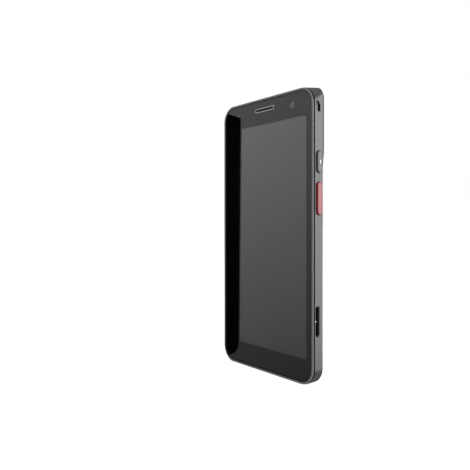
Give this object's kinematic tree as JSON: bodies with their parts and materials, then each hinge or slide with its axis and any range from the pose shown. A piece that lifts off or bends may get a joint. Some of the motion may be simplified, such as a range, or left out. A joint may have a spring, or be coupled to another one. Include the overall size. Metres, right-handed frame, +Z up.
{
  "type": "personal digital assistant",
  "caption": "Slim handheld scanning computer: glass front, side scan keys, scanner bump behind its head, latched lift-off battery and strap slots.",
  "frame": {"origin": "middle of the bounding box's base, under the bottom edge", "axes": "+Z up along the body, the glass faces -Y, +X is the right-hand side as the user sees it"},
  "size_m": [0.0754, 0.017, 0.153],
  "materials": {
    "band": "fine soft-touch texture, charcoal",
    "lip": "satin, dark grey",
    "gasket": "matte black",
    "cover_glass": "polished, dark when off",
    "display": "dark panel, off",
    "flex": "amber film",
    "trim_steel": "fine brushed",
    "mesh": "black woven mesh",
    "module_black": "moulded, smooth",
    "light_guide": "milky",
    "rear_shell": "fine spark texture, dark grey",
    "camera_plate": "smooth dark grey",
    "lens": "polished, coated",
    "flash_cover": "frosted",
    "phosphor": "yellow emitter",
    "contact_metal": "polished plated studs",
    "label": "printed film, plain white head",
    "scan_window": "tinted, polished",
    "engine_body": "black cast housing",
    "board": "green solder mask",
    "shield_can": "tinned",
    "copper": "bare copper film",
    "gold": "gold flash",
    "speaker_body": "moulded",
    "screw_steel": "black zinc",
    "connector_resin": "glass-filled resin",
    "port_black": "moulded black",
    "bright_steel": "polished",
    "battery_shell": "fine spark texture, dark grey",
    "battery_case": "moulded black",
    "cell_foil": "laminated pouch",
    "seal": "matte black",
    "latch_plate": "bright rolled",
    "key_grey": "satin charcoal",
    "key_red": "glossy deep red"
  },
  "bodies": {
    "handset": {"mid_frame": "band", "front_bezel": "lip", "bezel_gasket": "gasket", "glass_adhesive": "gasket", "cover_glass": "cover_glass", "lcd_panel": "display", "display_flex": "flex", "earpiece_trim": "trim_steel", "earpiece_mesh": "mesh", "earpiece_speaker": "speaker_body", "front_camera": "module_black", "status_light": "light_guide", "rear_cover": "rear_shell", "camera_window": "camera_plate", "camera_lens": "lens", "flash_lens": "flash_cover", "rear_camera": "module_black", "flash_led": "phosphor", "strap_clip": "bright_steel", "accessory_contacts": "contact_metal", "blank_label": "label", "scan_window": "scan_window", "scan_window_gasket": "gasket", "scan_engine": "engine_body", "engine_lenses": "lens", "main_board": "board", "board_shields": "shield_can", "nfc_coil": "copper", "interconnect_flex": "flex", "lower_board": "board", "usb_connector": "shield_can", "usb_tongue": "port_black", "loudspeaker": "speaker_body", "speaker_mesh": "mesh", "vibration_motor": "shield_can", "microphones": "gold", "battery_connector": "connector_resin", "sim_holder": "shield_can", "switch_board_left": "board", "switch_board_right": "board", "cover_screws": "screw_steel", "rocker_pin": "screw_steel", "lanyard_pins": "screw_steel", "side_port_insert": "port_black", "side_port_contacts": "gold", "detent_ball": "bright_steel"},
    "battery": {"battery_cover": "battery_shell", "battery_case": "battery_case", "battery_cell": "cell_foil", "battery_contacts": "gold", "battery_seal": "seal", "latch_guide": "latch_plate", "latch_spring": "bright_steel"},
    "latch": {"latch_tab": "battery_shell", "latch_tongue": "latch_plate"},
    "power_key": {"power_key": "key_grey"},
    "volume_rocker": {"volume_rocker": "key_grey"},
    "scan_key_left": {"scan_key_left": "key_red"},
    "scan_key_right": {"scan_key_right": "key_red"}
  },
  "joints": [
    {"name": "battery_lift", "type": "slide", "parent": "handset", "child": "battery", "axis": [0, 1, 0], "range_m": [0, 0.03]},
    {"name": "latch_slide", "type": "slide", "parent": "battery", "child": "latch", "axis": [0, 0, -1], "range_m": [0, 0.0022], "stiffness_N_per_m": 500, "springref_m": -0.001, "deforming": ["latch_spring"]},
    {"name": "power_key_press", "type": "slide", "parent": "handset", "child": "power_key", "axis": [-1, 0, 0], "range_m": [0, 0.0004], "stiffness_N_per_m": 4000, "springref_m": -0.0001},
    {"name": "scan_key_right_press", "type": "slide", "parent": "handset", "child": "scan_key_right", "axis": [-1, 0, 0], "range_m": [0, 0.0004], "stiffness_N_per_m": 4000, "springref_m": -0.0001},
    {"name": "scan_key_left_press", "type": "slide", "parent": "handset", "child": "scan_key_left", "axis": [1, 0, 0], "range_m": [0, 0.0004], "stiffness_N_per_m": 4000, "springref_m": -0.0001},
    {"name": "volume_rock", "type": "hinge", "parent": "handset", "child": "volume_rocker", "pos_m": [-0.0342, -0.00415, 0.1158], "axis": [0, 1, 0], "range_deg": [-2.4, 2.4], "stiffness_Nm_per_rad": 0.3}
  ]
}
